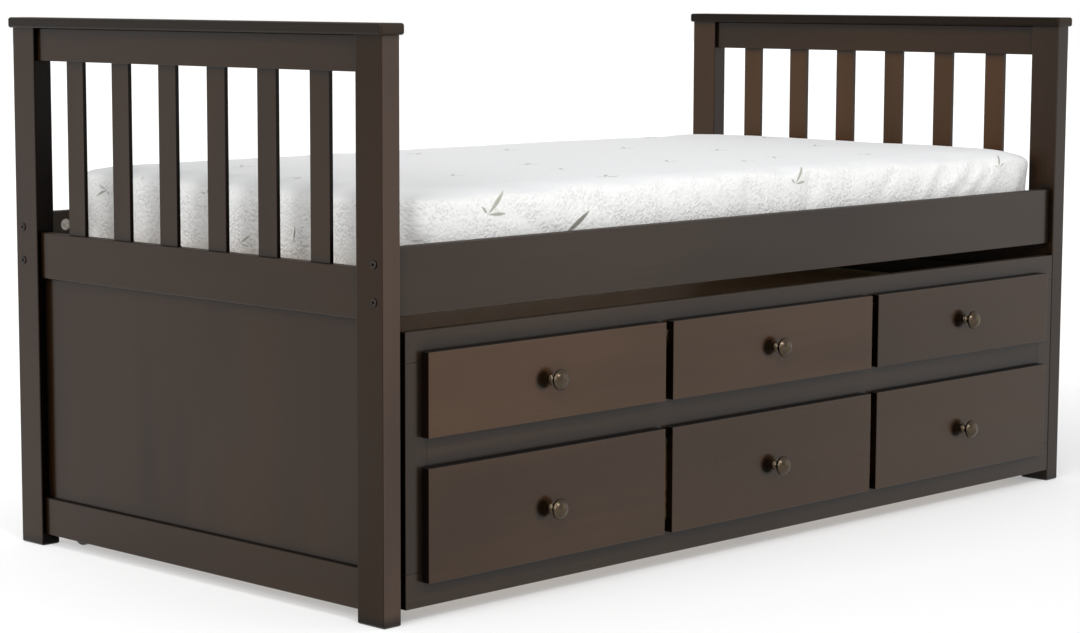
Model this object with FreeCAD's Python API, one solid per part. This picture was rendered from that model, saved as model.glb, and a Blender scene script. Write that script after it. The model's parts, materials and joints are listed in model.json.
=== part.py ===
import FreeCAD, Part
import os
from FreeCAD import Vector

# Trundle bed in dark stained wood: a single bed with two slatted ends, and a
# trundle on casters below it that carries three false fronts and three drawers.
# Millimetres. +X runs towards the head end, -Y towards the front, +Z up.
# The pieces are drawn about the middle of the bed; the origin is then moved
# under the middle of the overall footprint, knobs included, at floor level.

# ---- Driving dimensions: bed frame
BED_LENGTH = 2030.0        # over the posts
BED_WIDTH = 1050.0         # over the posts
POST_THICK = 40.0          # along X
POST_WIDE = 68.0           # along Y
POST_HIGH = 1002.0
POST_EASE = 2.5            # rounding of the posts' long edges
FOOT_CHAMFER = 3.0
CAP_THICK = 20.0
CAP_SIDE_OVERHANG = 8.0
CAP_END_OVERHANG = 5.0
CAP_ROUND = 5.0
RAIL_THICK = 22.0
BOARD_EASE = 1.5           # rounding of the edges of rails and fronts
SEAM_EASE = 1.0            # rounding where the boards of the face frame meet
MID_RAIL_UNDER_ROUND = 4.0
TOP_RAIL_LOW = 940.0
MID_RAIL_LOW, MID_RAIL_TOP = 522.0, 611.0
LOW_RAIL_LOW, LOW_RAIL_TOP = 22.0, 94.0
TENON_LONG, TENON_THICK, TENON_SHOULDER = 22.0, 12.0, 9.0
END_SLAT_COUNT, END_SLAT_PITCH = 6, 139.6
END_SLAT_WIDE, END_SLAT_THICK, END_SLAT_BITE = 50.0, 8.0, 12.0
PANEL_THICK, PANEL_BITE = 5.0, 8.0

SIDE_RAIL_RECESS = 12.0    # from the post's front face
SIDE_RAIL_LOW, SIDE_RAIL_TOP = 529.0, 647.0
LEDGER_LOW, LEDGER_SIZE = 532.0, 25.0
BED_SLAT_COUNT, BED_SLAT_WIDE, BED_SLAT_THICK = 14, 70.0, 18.0
BED_SLAT_END_GAP = 3.0

BOLT_HEIGHTS = (556.0, 620.0)
BOLT_R, BOLT_HEAD_R, BOLT_HEAD_THICK, BOLT_SOCKET_R = 4.0, 7.5, 2.0, 2.9
BOLT_LONG = 98.0
BOLT_HOLE_R = 4.3
BARREL_R, BARREL_LONG, BARREL_FROM_END = 11.0, 18.0, 52.0
BARREL_HOLE_DEEP = 19.0

MATTRESS_LONG, MATTRESS_WIDE, MATTRESS_THICK = 1854.0, 956.0, 157.0
MATTRESS_SHIFT = 29.0      # it lies towards the head end
MATTRESS_ROUND = 30.0
SOFT_GAP = 0.4

# ---- Driving dimensions: trundle
TRUNDLE_LONG = 1938.0
TRUNDLE_SHIFT = 4.5        # it stands a little towards the head end
TRUNDLE_DEEP = 1005.0      # face frame to the back of the back board
FRAME_THICK = 20.0
FRAME_LOW, FRAME_TOP = 25.0, 503.0
FRAME_TOP_RAIL_LOW, FRAME_LOW_RAIL_TOP = 450.0, 86.0
FRAME_MID_LOW, FRAME_MID_TOP = 250.0, 334.0
STILE_WIDE = 50.0
SIDE_THICK = 15.0
SIDE_TOP = 470.0
BACK_THICK = 18.0
STRETCHER_LOW, STRETCHER_THICK, STRETCHER_WIDE = 56.0, 18.0, 66.0
PARTITION_THICK = 15.0
DECK_LOW, DECK_SLAT_THICK, DECK_SLAT_WIDE, DECK_SLAT_COUNT = 292.0, 14.0, 80.0, 12
TRUNDLE_PAD_LONG, TRUNDLE_PAD_WIDE, TRUNDLE_PAD_THICK = 1860.0, 940.0, 130.0
TRUNDLE_PAD_ROUND = 22.0
CLEAT_SIZE = 22.0

FRONT_THICK = 16.0
FRONT_WIDE = 606.0
FRONT_PITCH = 626.5
UPPER_LOW, UPPER_TOP = 319.0, 467.0
LOWER_LOW, LOWER_TOP = 67.5, 267.0
KNOB_UPPER_Z, KNOB_LOWER_Z = 392.0, 159.5
KNOB_HEAD_R, KNOB_REACH, KNOB_STUD_R = 19.0, 32.0, 4.0

BOX_WIDE, BOX_DEEP, BOX_LOW, BOX_TOP = 582.0, 460.0, 89.0, 244.0
BOX_BOARD = 12.0
BOX_BOTTOM_LOW, BOX_BOTTOM_THICK, BOX_BOTTOM_BITE = 99.0, 5.0, 6.0
GROOVE_LOW, GROOVE_HIGH, GROOVE_DEEP = 150.0, 16.0, 7.0
GROOVE_STOP = 30.0         # solid wood left in front of the groove
RUNNER_GAP, RUNNER_SIDE_GAP = 0.5, 1.0
RUNNER_LONG = 420.0

WHEEL_R, WHEEL_WIDE, WHEEL_LIFT = 25.0, 18.0, 0.3
AXLE_R, AXLE_CLEARANCE = 3.0, 0.05
FORK_THICK, FORK_PLATE_LONG, FORK_CHEEK_LONG, FORK_SIDE_GAP = 2.0, 56.0, 20.0, 0.6
CASTER_END_INSET = 14.5    # from the trundle's end to the outer wheels' middle
FRONT_AXLE_Y, REAR_AXLE_Y = -440.0, 410.0

# ---- Places worked out from them
X_END = BED_LENGTH / 2
Y_END = BED_WIDTH / 2
X_POST_IN = X_END - POST_THICK
Y_POST_IN = Y_END - POST_WIDE
X_MID_END = X_END - POST_THICK / 2          # middle plane of each bed end
Y_RAIL_OUT = Y_END - SIDE_RAIL_RECESS
Y_RAIL_IN = Y_RAIL_OUT - RAIL_THICK
BED_SLAT_LOW = LEDGER_LOW + LEDGER_SIZE
BED_SLAT_TOP = BED_SLAT_LOW + BED_SLAT_THICK
T_LEFT = TRUNDLE_SHIFT - TRUNDLE_LONG / 2
T_RIGHT = TRUNDLE_SHIFT + TRUNDLE_LONG / 2
FRAME_FRONT = -Y_END
FRAME_BACK = FRAME_FRONT + FRAME_THICK
BACK_REAR = FRAME_FRONT + TRUNDLE_DEEP
BACK_FRONT = BACK_REAR - BACK_THICK
FRONT_FACE = FRAME_FRONT - FRONT_THICK
PARTITION_LOW = STRETCHER_LOW + STRETCHER_THICK
FRONT_REACH = Y_END + FRONT_THICK + KNOB_REACH
REAR_REACH = Y_END + CAP_END_OVERHANG
ORIGIN_SHIFT = Vector(0, (FRONT_REACH - REAR_REACH) / 2, 0)
DRAWERS = (("left", -1), ("middle", 0), ("right", 1))
ENDS = (("foot", -1), ("head", 1))
SIDES = (("front", -1), ("rear", 1))

nodes = {}


def span(x0, x1, y0, y1, z0, z1):
    """Box between two corners, given in any order."""
    low = Vector(min(x0, x1), min(y0, y1), min(z0, z1))
    return Part.makeBox(abs(x1 - x0), abs(y1 - y0), abs(z1 - z0), low)


def eased(board, radius=BOARD_EASE):
    """Board with all its edges rounded."""
    return board.makeFillet(radius, board.Edges)


def rod(radius, length, start, direction):
    return Part.makeCylinder(radius, length, start, direction)


def group(solids):
    return Part.makeCompound(solids)


def end_x(side, inset):
    """X at a distance inside one bed end's outer face."""
    return side * (X_END - inset)


def pad(x, y, support, length, width, thick, radius):
    """Mattress as a plain rounded block, a little above the slats that carry it."""
    low = support + SOFT_GAP
    block = span(x - length / 2, x + length / 2, y - width / 2, y + width / 2, low, low + thick)
    return eased(block, radius)


# ---- Bed ends

def rail_tenons(side, low, top):
    """The two tenons of an end rail, one into each post."""
    half = TENON_THICK / 2
    x = side * X_MID_END
    return [span(x - half, x + half, s * Y_POST_IN, s * (Y_POST_IN + TENON_LONG),
                 low + TENON_SHOULDER, top - TENON_SHOULDER) for s in (-1, 1)]


def end_slat_blanks(side):
    """The slats of one end, with the ends that go into the rails."""
    x = side * X_MID_END
    first = -(END_SLAT_COUNT - 1) / 2 * END_SLAT_PITCH
    blanks = []
    for i in range(END_SLAT_COUNT):
        y = first + i * END_SLAT_PITCH
        blanks.append(span(x - END_SLAT_THICK / 2, x + END_SLAT_THICK / 2,
                           y - END_SLAT_WIDE / 2, y + END_SLAT_WIDE / 2,
                           MID_RAIL_TOP - END_SLAT_BITE, TOP_RAIL_LOW + END_SLAT_BITE))
    return blanks


def end_panel(side):
    """Panel that sits in grooves of the posts and of the mid and bottom rails."""
    x = side * X_MID_END
    return span(x - PANEL_THICK / 2, x + PANEL_THICK / 2,
                -Y_POST_IN - PANEL_BITE, Y_POST_IN + PANEL_BITE,
                LOW_RAIL_TOP - PANEL_BITE, MID_RAIL_LOW + PANEL_BITE)


def end_rail(side, low, top, cuts, under_round=BOARD_EASE):
    """Rail between two posts, rounded along its length only, with its tenons."""
    x = side * X_MID_END
    board = span(x - RAIL_THICK / 2, x + RAIL_THICK / 2, -Y_POST_IN, Y_POST_IN, low, top)
    for height, radius in ((low, under_round), (top, BOARD_EASE)):
        along = [e for e in board.Edges if e.BoundBox.YLength > Y_POST_IN
                 and abs(e.BoundBox.Center.z - height) < 1e-3]
        board = board.makeFillet(radius, along)
    return board.fuse(rail_tenons(side, low, top)).cut(cuts)


def bolt_holes(side, s):
    """Clearance holes of the cross bolts through a post into the side rail's end."""
    y = s * (Y_RAIL_OUT - RAIL_THICK / 2)
    return [rod(BOLT_HOLE_R, BOLT_LONG + 6.0, Vector(side * X_END, y, z), Vector(-side, 0, 0))
            for z in BOLT_HEIGHTS]


def post(side, s, cuts):
    blank = span(end_x(side, 0), end_x(side, POST_THICK), s * Y_END, s * Y_POST_IN, 0, POST_HIGH)
    foot = [e for e in blank.Edges if e.BoundBox.ZMax < 1e-3]
    body = blank.makeChamfer(FOOT_CHAMFER, foot)
    upright = [e for e in body.Edges if e.BoundBox.ZLength > POST_HIGH / 2]
    return body.makeFillet(POST_EASE, upright).cut(cuts)


def make_end(name, side):
    slats = end_slat_blanks(side)
    panel = end_panel(side)
    rails = {"top_rail": (TOP_RAIL_LOW, POST_HIGH), "mid_rail": (MID_RAIL_LOW, MID_RAIL_TOP),
             "bottom_rail": (LOW_RAIL_LOW, LOW_RAIL_TOP)}
    under = {"mid_rail": MID_RAIL_UNDER_ROUND}
    mortises = [panel]
    for rail, (low, top) in rails.items():
        nodes[f"{name}_{rail}"] = end_rail(side, low, top, slats + [panel], under.get(rail, BOARD_EASE))
        mortises += rail_tenons(side, low, top)
    for where, s in SIDES:
        nodes[f"{name}_{where}_post"] = post(side, s, mortises + bolt_holes(side, s))
    nodes[f"{name}_slats"] = group(slats)
    nodes[f"{name}_panel"] = panel
    cap = span(end_x(side, -CAP_SIDE_OVERHANG), end_x(side, POST_THICK + CAP_SIDE_OVERHANG),
               -Y_END - CAP_END_OVERHANG, Y_END + CAP_END_OVERHANG, POST_HIGH, POST_HIGH + CAP_THICK)
    nodes[f"{name}_cap"] = eased(cap, CAP_ROUND)


# ---- Side rails, their bolts, ledgers, slats and the mattress

def barrel_holes(side, s):
    """Blind holes in a side rail's inner face that the barrel nuts sit in."""
    x = side * (X_POST_IN - BARREL_FROM_END)
    return [rod(BARREL_R, BARREL_HOLE_DEEP, Vector(x, s * Y_RAIL_IN, z), Vector(0, s, 0))
            for z in BOLT_HEIGHTS]


def make_side_rail(name, s):
    board = eased(span(-X_POST_IN, X_POST_IN, s * Y_RAIL_OUT, s * Y_RAIL_IN,
                       SIDE_RAIL_LOW, SIDE_RAIL_TOP))
    holes = []
    for _, side in ENDS:
        holes += bolt_holes(side, s) + barrel_holes(side, s)
    nodes[f"{name}_side_rail"] = board.cut(holes)


def cross_bolt(side, s, z):
    """Flat-headed bolt with a hexagon socket, lying along X."""
    y = s * (Y_RAIL_OUT - RAIL_THICK / 2)
    out = Vector(side, 0, 0)
    face = Vector(side * X_END, y, z)
    head = rod(BOLT_HEAD_R, BOLT_HEAD_THICK, face, out)
    rim = [e for e in head.Edges if abs(e.BoundBox.XMin - side * (X_END + BOLT_HEAD_THICK)) < 1e-3
           and e.BoundBox.XLength < 1e-3]
    head = head.makeFillet(0.8, rim)
    shank = rod(BOLT_R, BOLT_LONG, face, Vector(-side, 0, 0))
    socket = hexagon_prism(face + out * BOLT_HEAD_THICK, -side, BOLT_HEAD_THICK + 2.5)
    return head.fuse(shank).cut(socket)


def hexagon_prism(centre, direction, depth):
    """Hexagon socket, cut along X from its mouth's centre."""
    corners = []
    for i in range(7):
        turn = FreeCAD.Rotation(Vector(1, 0, 0), 60.0 * i)
        corners.append(centre + turn.multVec(Vector(0, BOLT_SOCKET_R, 0)))
    return Part.Face(Part.makePolygon(corners)).extrude(Vector(direction * depth, 0, 0))


def make_bolts():
    bolts, barrels = [], []
    for _, side in ENDS:
        for _, s in SIDES:
            for z in BOLT_HEIGHTS:
                bolt = cross_bolt(side, s, z)
                x = side * (X_POST_IN - BARREL_FROM_END)
                start = Vector(x, s * (Y_RAIL_IN + 0.5), z)
                bolts.append(bolt)
                barrels.append(rod(BARREL_R, BARREL_LONG, start, Vector(0, s, 0)).cut(bolt))
    nodes["cross_bolts"] = group(bolts)
    nodes["barrel_nuts"] = group(barrels)


def make_bed_base():
    ledgers = [span(-X_POST_IN, X_POST_IN, s * Y_RAIL_IN, s * (Y_RAIL_IN - LEDGER_SIZE),
                    LEDGER_LOW, LEDGER_LOW + LEDGER_SIZE) for _, s in SIDES]
    nodes["slat_ledgers"] = group(ledgers)
    half = Y_RAIL_IN - BED_SLAT_END_GAP
    reach = X_POST_IN - BED_SLAT_WIDE
    pitch = 2 * reach / (BED_SLAT_COUNT - 1)
    slats = []
    for i in range(BED_SLAT_COUNT):
        x = -reach + i * pitch
        slats.append(eased(span(x - BED_SLAT_WIDE / 2, x + BED_SLAT_WIDE / 2, -half, half,
                                BED_SLAT_LOW, BED_SLAT_TOP), 2.0))
    nodes["bed_slats"] = group(slats)
    nodes["mattress"] = pad(MATTRESS_SHIFT, 0, BED_SLAT_TOP, MATTRESS_LONG, MATTRESS_WIDE,
                            MATTRESS_THICK, MATTRESS_ROUND)


# ---- Trundle

def frame_board(x0, x1, z0, z1):
    return eased(span(x0, x1, FRAME_FRONT, FRAME_BACK, z0, z1), SEAM_EASE)


def make_face_frame():
    nodes["trundle_top_rail"] = frame_board(T_LEFT, T_RIGHT, FRAME_TOP_RAIL_LOW, FRAME_TOP)
    nodes["trundle_bottom_rail"] = frame_board(T_LEFT, T_RIGHT, FRAME_LOW, FRAME_LOW_RAIL_TOP)
    stile_low, stile_top = FRAME_LOW_RAIL_TOP, FRAME_TOP_RAIL_LOW
    left_in, right_in = T_LEFT + STILE_WIDE, T_RIGHT - STILE_WIDE
    nodes["trundle_left_stile"] = frame_board(T_LEFT, left_in, stile_low, stile_top)
    nodes["trundle_right_stile"] = frame_board(right_in, T_RIGHT, stile_low, stile_top)
    nodes["trundle_middle_rail"] = frame_board(left_in, right_in, FRAME_MID_LOW, FRAME_MID_TOP)


def front_centre(index):
    return TRUNDLE_SHIFT + index * FRONT_PITCH


def knob(x, z):
    """Turned knob about Y: flanged foot, slim neck, domed mushroom head, and its stud."""
    def point(r, out):
        return Vector(x + r, FRONT_FACE - out, z)

    head_r, top = KNOB_HEAD_R, KNOB_REACH
    edges = [
        Part.LineSegment(point(0, -FRONT_THICK), point(KNOB_STUD_R, -FRONT_THICK)),
        Part.LineSegment(point(KNOB_STUD_R, -FRONT_THICK), point(KNOB_STUD_R, 0)),
        Part.LineSegment(point(KNOB_STUD_R, 0), point(10.5, 0)),
        Part.Arc(point(10.5, 0), point(10.8, 1.4), point(9.4, 2.6)),
        Part.Arc(point(9.4, 2.6), point(6.8, 8.6), point(9.2, top - 18.0)),
        Part.Arc(point(9.2, top - 18.0), point(12.8, top - 16.5), point(head_r - 2.0, top - 15.8)),
        Part.Arc(point(head_r - 2.0, top - 15.8), point(head_r, top - 13.2), point(head_r - 1.0, top - 9.8)),
        Part.Arc(point(head_r - 1.0, top - 9.8), point(11.0, top - 2.86), point(3, top)),
        Part.LineSegment(point(3, top), point(0, top)),
        Part.LineSegment(point(0, top), point(0, -FRONT_THICK)),
    ]
    outline = Part.Face(Part.Wire([e.toShape() for e in edges]))
    return outline.revolve(Vector(x, 0, z), Vector(0, 1, 0), 360)


def drawer_front(x, low, top, stud):
    board = span(x - FRONT_WIDE / 2, x + FRONT_WIDE / 2, FRONT_FACE, FRAME_FRONT, low, top)
    return eased(board).cut(stud)


def make_false_fronts():
    knobs = []
    for name, index in DRAWERS:
        x = front_centre(index)
        pull = knob(x, KNOB_UPPER_Z)
        knobs.append(pull)
        nodes[f"{name}_false_front"] = drawer_front(x, UPPER_LOW, UPPER_TOP, pull)
    nodes["false_front_knobs"] = group(knobs)


def partition_faces():
    """Left face of each of the four partitions, from left to right."""
    between = FRONT_PITCH / 2
    return [T_LEFT + STILE_WIDE - PARTITION_THICK,
            TRUNDLE_SHIFT - between - PARTITION_THICK / 2,
            TRUNDLE_SHIFT + between - PARTITION_THICK / 2,
            T_RIGHT - STILE_WIDE]


def drawer_bay(index):
    """Clear space between the two partitions beside a drawer, left and right."""
    faces = partition_faces()
    return faces[index + 1] + PARTITION_THICK, faces[index + 2]


def make_trundle_box():
    for name, x, inward in (("left", T_LEFT, 1), ("right", T_RIGHT, -1)):
        nodes[f"trundle_{name}_side"] = span(x, x + inward * SIDE_THICK, FRAME_BACK, BACK_REAR,
                                             STRETCHER_LOW, SIDE_TOP)
    x0, x1 = T_LEFT + SIDE_THICK, T_RIGHT - SIDE_THICK
    nodes["trundle_back"] = span(x0, x1, BACK_FRONT, BACK_REAR, FRAME_LOW, SIDE_TOP)
    stretchers = [span(x0, x1, y - STRETCHER_WIDE / 2, y + STRETCHER_WIDE / 2,
                       STRETCHER_LOW, PARTITION_LOW) for y in (FRONT_AXLE_Y, REAR_AXLE_Y)]
    nodes["caster_stretchers"] = group(stretchers)
    nodes["trundle_partitions"] = group([
        span(x, x + PARTITION_THICK, FRAME_BACK, BACK_FRONT, PARTITION_LOW, DECK_LOW)
        for x in partition_faces()])
    cleat_low = DECK_LOW - CLEAT_SIZE
    cleats = []
    for index in range(-1, 2):
        left, right = drawer_bay(index)
        cleats.append(span(left, right, FRAME_BACK, FRAME_BACK + CLEAT_SIZE, cleat_low, DECK_LOW))
        cleats.append(span(left, right, BACK_FRONT - CLEAT_SIZE, BACK_FRONT, cleat_low, DECK_LOW))
    nodes["deck_cleats"] = group(cleats)
    reach = (x1 - x0) / 2 - DECK_SLAT_WIDE
    pitch = 2 * reach / (DECK_SLAT_COUNT - 1)
    slats = []
    for i in range(DECK_SLAT_COUNT):
        x = TRUNDLE_SHIFT - reach + i * pitch
        slats.append(eased(span(x - DECK_SLAT_WIDE / 2, x + DECK_SLAT_WIDE / 2,
                                FRAME_BACK + 1.0, BACK_FRONT - 1.0,
                                DECK_LOW, DECK_LOW + DECK_SLAT_THICK)))
    nodes["deck_slats"] = group(slats)
    nodes["trundle_mattress"] = pad(TRUNDLE_SHIFT, (FRAME_BACK + BACK_FRONT) / 2,
                                    DECK_LOW + DECK_SLAT_THICK, TRUNDLE_PAD_LONG,
                                    TRUNDLE_PAD_WIDE, TRUNDLE_PAD_THICK, TRUNDLE_PAD_ROUND)


# ---- Drawers and their runners

def box_ends(index):
    """Left and right outer faces of a drawer box, centred in its bay."""
    left, right = drawer_bay(index)
    middle = (left + right) / 2
    return middle - BOX_WIDE / 2, middle + BOX_WIDE / 2


def make_runners():
    runners = []
    low, top = GROOVE_LOW + RUNNER_GAP, GROOVE_LOW + GROOVE_HIGH - RUNNER_GAP
    start = FRAME_BACK + GROOVE_STOP
    bite = GROOVE_DEEP - RUNNER_SIDE_GAP
    for _, index in DRAWERS:
        left, right = drawer_bay(index)
        box_left, box_right = box_ends(index)
        for x0, x1 in ((left, box_left + bite), (right, box_right - bite)):
            runners.append(span(x0, x1, start, start + RUNNER_LONG, low, top))
    nodes["drawer_runners"] = group(runners)


def make_drawer(name, index):
    x = front_centre(index)
    pull = knob(x, KNOB_LOWER_Z)
    nodes[f"{name}_drawer_knob"] = pull
    nodes[f"{name}_drawer_front"] = drawer_front(x, LOWER_LOW, LOWER_TOP, pull)
    left, right = box_ends(index)
    front, back = FRAME_FRONT, FRAME_FRONT + BOX_DEEP
    bite = BOX_BOTTOM_BITE
    bottom = span(left + BOX_BOARD - bite, right - BOX_BOARD + bite,
                  front + BOX_BOARD - bite, back - BOX_BOARD + bite,
                  BOX_BOTTOM_LOW, BOX_BOTTOM_LOW + BOX_BOTTOM_THICK)
    sides = []
    for outer, inward in ((left, 1), (right, -1)):
        board = span(outer, outer + inward * BOX_BOARD, front, back, BOX_LOW, BOX_TOP)
        groove = span(outer, outer + inward * GROOVE_DEEP, front + GROOVE_STOP, back,
                      GROOVE_LOW, GROOVE_LOW + GROOVE_HIGH)
        sides.append(board.cut([groove, bottom]))
    ends = [span(left + BOX_BOARD, right - BOX_BOARD, y, y + BOX_BOARD, BOX_LOW, BOX_TOP).cut(bottom)
            for y in (front, back - BOX_BOARD)]
    nodes[f"{name}_drawer_sides"] = group(sides)
    nodes[f"{name}_drawer_ends"] = group(ends)
    nodes[f"{name}_drawer_bottom"] = bottom


# ---- Casters

def caster_places():
    return [T_LEFT + CASTER_END_INSET, TRUNDLE_SHIFT, T_RIGHT - CASTER_END_INSET]


def fork(x, y):
    """Folded steel fork: a plate under the stretcher and two rounded cheeks."""
    inner = WHEEL_WIDE / 2 + FORK_SIDE_GAP
    outer = inner + FORK_THICK
    axle_z = WHEEL_R + WHEEL_LIFT
    plate = span(x - outer, x + outer, y - FORK_PLATE_LONG / 2, y + FORK_PLATE_LONG / 2,
                 STRETCHER_LOW - FORK_THICK, STRETCHER_LOW)
    cheeks = []
    for x0 in (x - outer, x + inner):
        upper = span(x0, x0 + FORK_THICK, y - FORK_CHEEK_LONG / 2, y + FORK_CHEEK_LONG / 2,
                     axle_z, STRETCHER_LOW - FORK_THICK)
        lobe = rod(FORK_CHEEK_LONG / 2, FORK_THICK, Vector(x0, y, axle_z), Vector(1, 0, 0))
        cheeks.append(upper.fuse(lobe))
    hole = rod(AXLE_R, 2 * outer, Vector(x - outer, y, axle_z), Vector(1, 0, 0))
    return plate.fuse(cheeks).removeSplitter().cut(hole)


def axle(x, y):
    """Rivet through a fork's cheeks, with a low round head at each end."""
    half = WHEEL_WIDE / 2 + FORK_SIDE_GAP + FORK_THICK
    z = WHEEL_R + WHEEL_LIFT
    pin = rod(AXLE_R, 2 * half, Vector(x - half, y, z), Vector(1, 0, 0))
    heads = [rod(AXLE_R + 1.8, 1.2, Vector(x + s * half, y, z), Vector(s, 0, 0)) for s in (-1, 1)]
    return pin.fuse(heads)


def wheel(x, y):
    """Moulded wheel with rounded tread edges and a dished web on each face."""
    half = WHEEL_WIDE / 2
    z = WHEEL_R + WHEEL_LIFT

    def disc(radius, x0, x1):
        return rod(radius, x1 - x0, Vector(x0, y, z), Vector(1, 0, 0))

    tread = disc(WHEEL_R, x - half, x + half)
    tread = tread.makeFillet(3.0, [e for e in tread.Edges if e.BoundBox.XLength < 1e-3])
    hub_r, dish_r, dish_deep = 7.0, 17.0, 3.0
    dishes = [disc(dish_r, x - half, x - half + dish_deep).cut(disc(hub_r, x - half, x + half)),
              disc(dish_r, x + half - dish_deep, x + half).cut(disc(hub_r, x - half, x + half))]
    return tread.cut(dishes + [disc(AXLE_R + AXLE_CLEARANCE, x - half, x + half)])


def make_casters():
    rows = (("front", FRONT_AXLE_Y), ("rear", REAR_AXLE_Y))
    nodes["caster_forks"] = group([fork(x, y) for _, y in rows for x in caster_places()])
    nodes["caster_axles"] = group([axle(x, y) for _, y in rows for x in caster_places()])
    for name, y in rows:
        nodes[f"{name}_caster_wheels"] = group([wheel(x, y) for x in caster_places()])


def main():
    for name, side in ENDS:
        make_end(name, side)
    for name, s in SIDES:
        make_side_rail(name, s)
    make_bolts()
    make_bed_base()
    make_face_frame()
    make_false_fronts()
    make_trundle_box()
    make_runners()
    for name, index in DRAWERS:
        make_drawer(name, index)
    make_casters()

    os.makedirs("parts", exist_ok=True)
    for name, shape in nodes.items():
        shape.translate(ORIGIN_SHIFT)
        shape.exportStep(f"parts/{name}.step")
        if not shape.isValid():
            print("invalid shape:", name)
    print(len(nodes), "nodes,", sum(len(s.Solids) for s in nodes.values()), "solids")


main()
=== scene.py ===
import json
import math

import bmesh
import bpy
from mathutils import Matrix, Vector, noise


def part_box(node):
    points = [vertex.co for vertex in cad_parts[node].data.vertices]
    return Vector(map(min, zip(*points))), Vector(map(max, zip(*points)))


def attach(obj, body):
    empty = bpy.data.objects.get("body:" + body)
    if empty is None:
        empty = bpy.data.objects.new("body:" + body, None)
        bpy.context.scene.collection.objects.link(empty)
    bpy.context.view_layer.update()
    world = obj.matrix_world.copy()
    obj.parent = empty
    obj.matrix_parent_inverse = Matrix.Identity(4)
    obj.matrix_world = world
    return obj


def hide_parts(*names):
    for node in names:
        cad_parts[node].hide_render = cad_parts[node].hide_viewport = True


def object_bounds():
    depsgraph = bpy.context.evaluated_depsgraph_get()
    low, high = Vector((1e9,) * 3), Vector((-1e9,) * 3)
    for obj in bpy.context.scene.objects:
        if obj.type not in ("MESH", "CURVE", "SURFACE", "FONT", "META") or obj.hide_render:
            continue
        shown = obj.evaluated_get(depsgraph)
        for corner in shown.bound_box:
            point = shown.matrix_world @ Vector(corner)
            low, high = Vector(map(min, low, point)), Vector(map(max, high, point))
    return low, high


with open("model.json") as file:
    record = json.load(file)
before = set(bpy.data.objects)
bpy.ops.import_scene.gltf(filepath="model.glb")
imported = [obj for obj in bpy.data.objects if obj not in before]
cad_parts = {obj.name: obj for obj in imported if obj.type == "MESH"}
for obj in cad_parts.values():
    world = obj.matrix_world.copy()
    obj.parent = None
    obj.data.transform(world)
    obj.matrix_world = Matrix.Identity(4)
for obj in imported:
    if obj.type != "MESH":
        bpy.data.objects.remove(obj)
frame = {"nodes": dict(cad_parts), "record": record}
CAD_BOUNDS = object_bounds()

# The looks of the trundle bed: lacquered wood, raw timber inside, bronze knobs,
# and a knitted mattress cover. Metres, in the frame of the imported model.

# ---- Camera, as solved from the photograph's corners
CAMERA_AT = Vector((-4.0276, -3.8012, 1.0751))
CAMERA_FORWARD = Vector((0.71145, 0.69241, -0.12007))
CAMERA_ROLL = math.radians(0.196)
CAMERA_LENS, CAMERA_SENSOR = 89.68, 36.0

# ---- Studio
FLOOR_HALF = 40.0
FLOOR_COLOUR = (0.60, 0.60, 0.60, 1)
# The floor's glow is painted light; its weaker glow in front of the bed is painted shade.
FLOOR_GLOW = (0.25, 0.46)               # in front of the bed and behind it
GLOW_Y = (-1.3, 1.2)                    # where the glow reaches the one and the other
GLOW_FAR, GLOW_AWAY = 0.52, (2.6, 8.0)  # far off all round, growing between these distances
SKY_LOW, SKY_HIGH = 1.0, 0.78           # brightness at the horizon and overhead
SKY_RISE = (0.08, 0.45)                 # the heights between which it changes
WHITE = (1, 1, 1, 1)
# The key softbox: the way to it from the bed, how far off, how wide, and its power in watts.
KEY_WAY, KEY_FAR, KEY_WIDE, KEY_POWER = Vector((-0.43, -0.65, 0.62)), 5.0, 1.3, 62.0
# Far fills that light the whole bed alike: the way to them, how wide they look in degrees, strength.
FILLS = (
    (Vector((0.62, -0.70, 0.36)), 45.0, 0.30),
    (Vector((-0.86, -0.15, 0.40)), 50.0, 2.10),
)

# ---- Mattress covers
CELL = 0.016
COVER_INSET = Vector((0.003, 0.003, 0.002))  # room for ripples and folds inside the block's box
SETTLE_FRAMES = 20
MOST_MOVE = 0.005                       # how far the simulation may carry a point
SEAM_HEIGHT = 0.012                     # the cover is held fast up to here above its lowest point
HELD_LOOSELY = 0.04                     # how firmly the rest of it is held
TOP_HOLLOW = 0.003
CORNER_REACH, CORNER_SLUMP = 0.09, 0.014
HEAD_BULGE = 0.008                      # how far the head end swells towards the panel
STUFFING, STUFFING_SCALE = 0.0012, (6, 6, 8)
# Folds in the upright sides: which side, from where along it and up to where, height, half width.
FOLDS = (
    ("front", 0.545, 0.646, 0.625, 0.722, 0.0038, 0.013),
    ("front", 0.605, 0.640, 0.735, 0.724, 0.0042, 0.013),
    ("front", 0.690, 0.640, 0.770, 0.700, 0.0034, 0.012),
    ("front", 0.760, 0.640, 0.850, 0.715, 0.0026, 0.012),
    ("front", 0.430, 0.655, 0.490, 0.718, 0.0024, 0.013),
    ("front", -0.885, 0.640, -0.862, 0.715, 0.0045, 0.012),
    ("foot", 0.425, 0.590, 0.420, 0.715, 0.0050, 0.011),
    ("foot", 0.385, 0.590, 0.392, 0.710, 0.0040, 0.010),
    ("foot", 0.300, 0.600, 0.305, 0.715, 0.0040, 0.011),
    ("foot", 0.140, 0.600, 0.128, 0.715, 0.0045, 0.012),
    ("foot", -0.020, 0.600, -0.010, 0.710, 0.0040, 0.011),
    ("foot", -0.170, 0.600, -0.155, 0.715, 0.0045, 0.012),
    ("foot", -0.330, 0.600, -0.345, 0.715, 0.0045, 0.012),
)

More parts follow.
